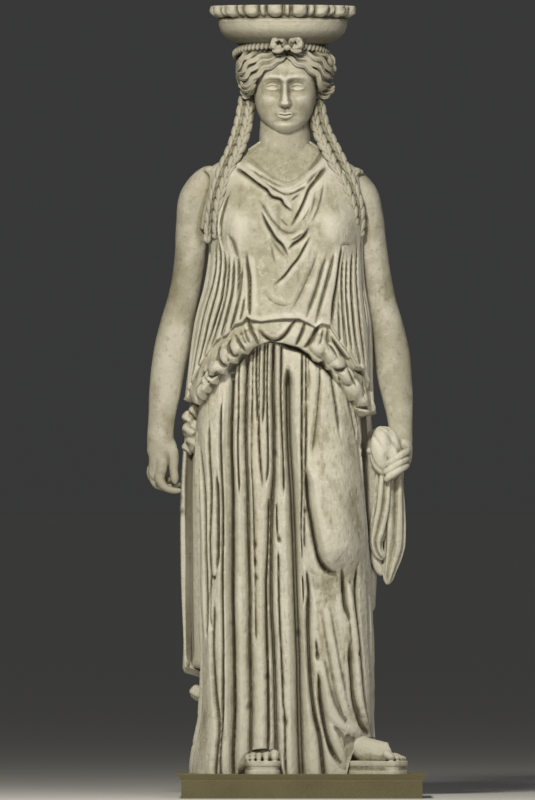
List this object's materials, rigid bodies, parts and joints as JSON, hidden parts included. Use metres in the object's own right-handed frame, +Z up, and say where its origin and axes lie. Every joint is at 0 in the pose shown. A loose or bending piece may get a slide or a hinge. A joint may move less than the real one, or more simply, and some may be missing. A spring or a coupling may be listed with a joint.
{
  "type": "caryatid statue",
  "caption": "Standing draped marble woman who carries a round capital on her head, on a low rectangular plinth; a support or display figure.",
  "frame": {"origin": "centre of the plinth's underside", "axes": "+Z up through the figure, -Y the way she faces, +X towards her left hand"},
  "size_m": [0.8414, 0.6, 2.3723],
  "materials": {
    "marble": "weathered matt marble with an ivory and olive patina and dark grime in the folds",
    "plinth_stone": "flat sawn stone, matt olive brown"
  },
  "bodies": {
    "root": {"statue": "marble", "plinth": "plinth_stone"}
  },
  "joints": []
}
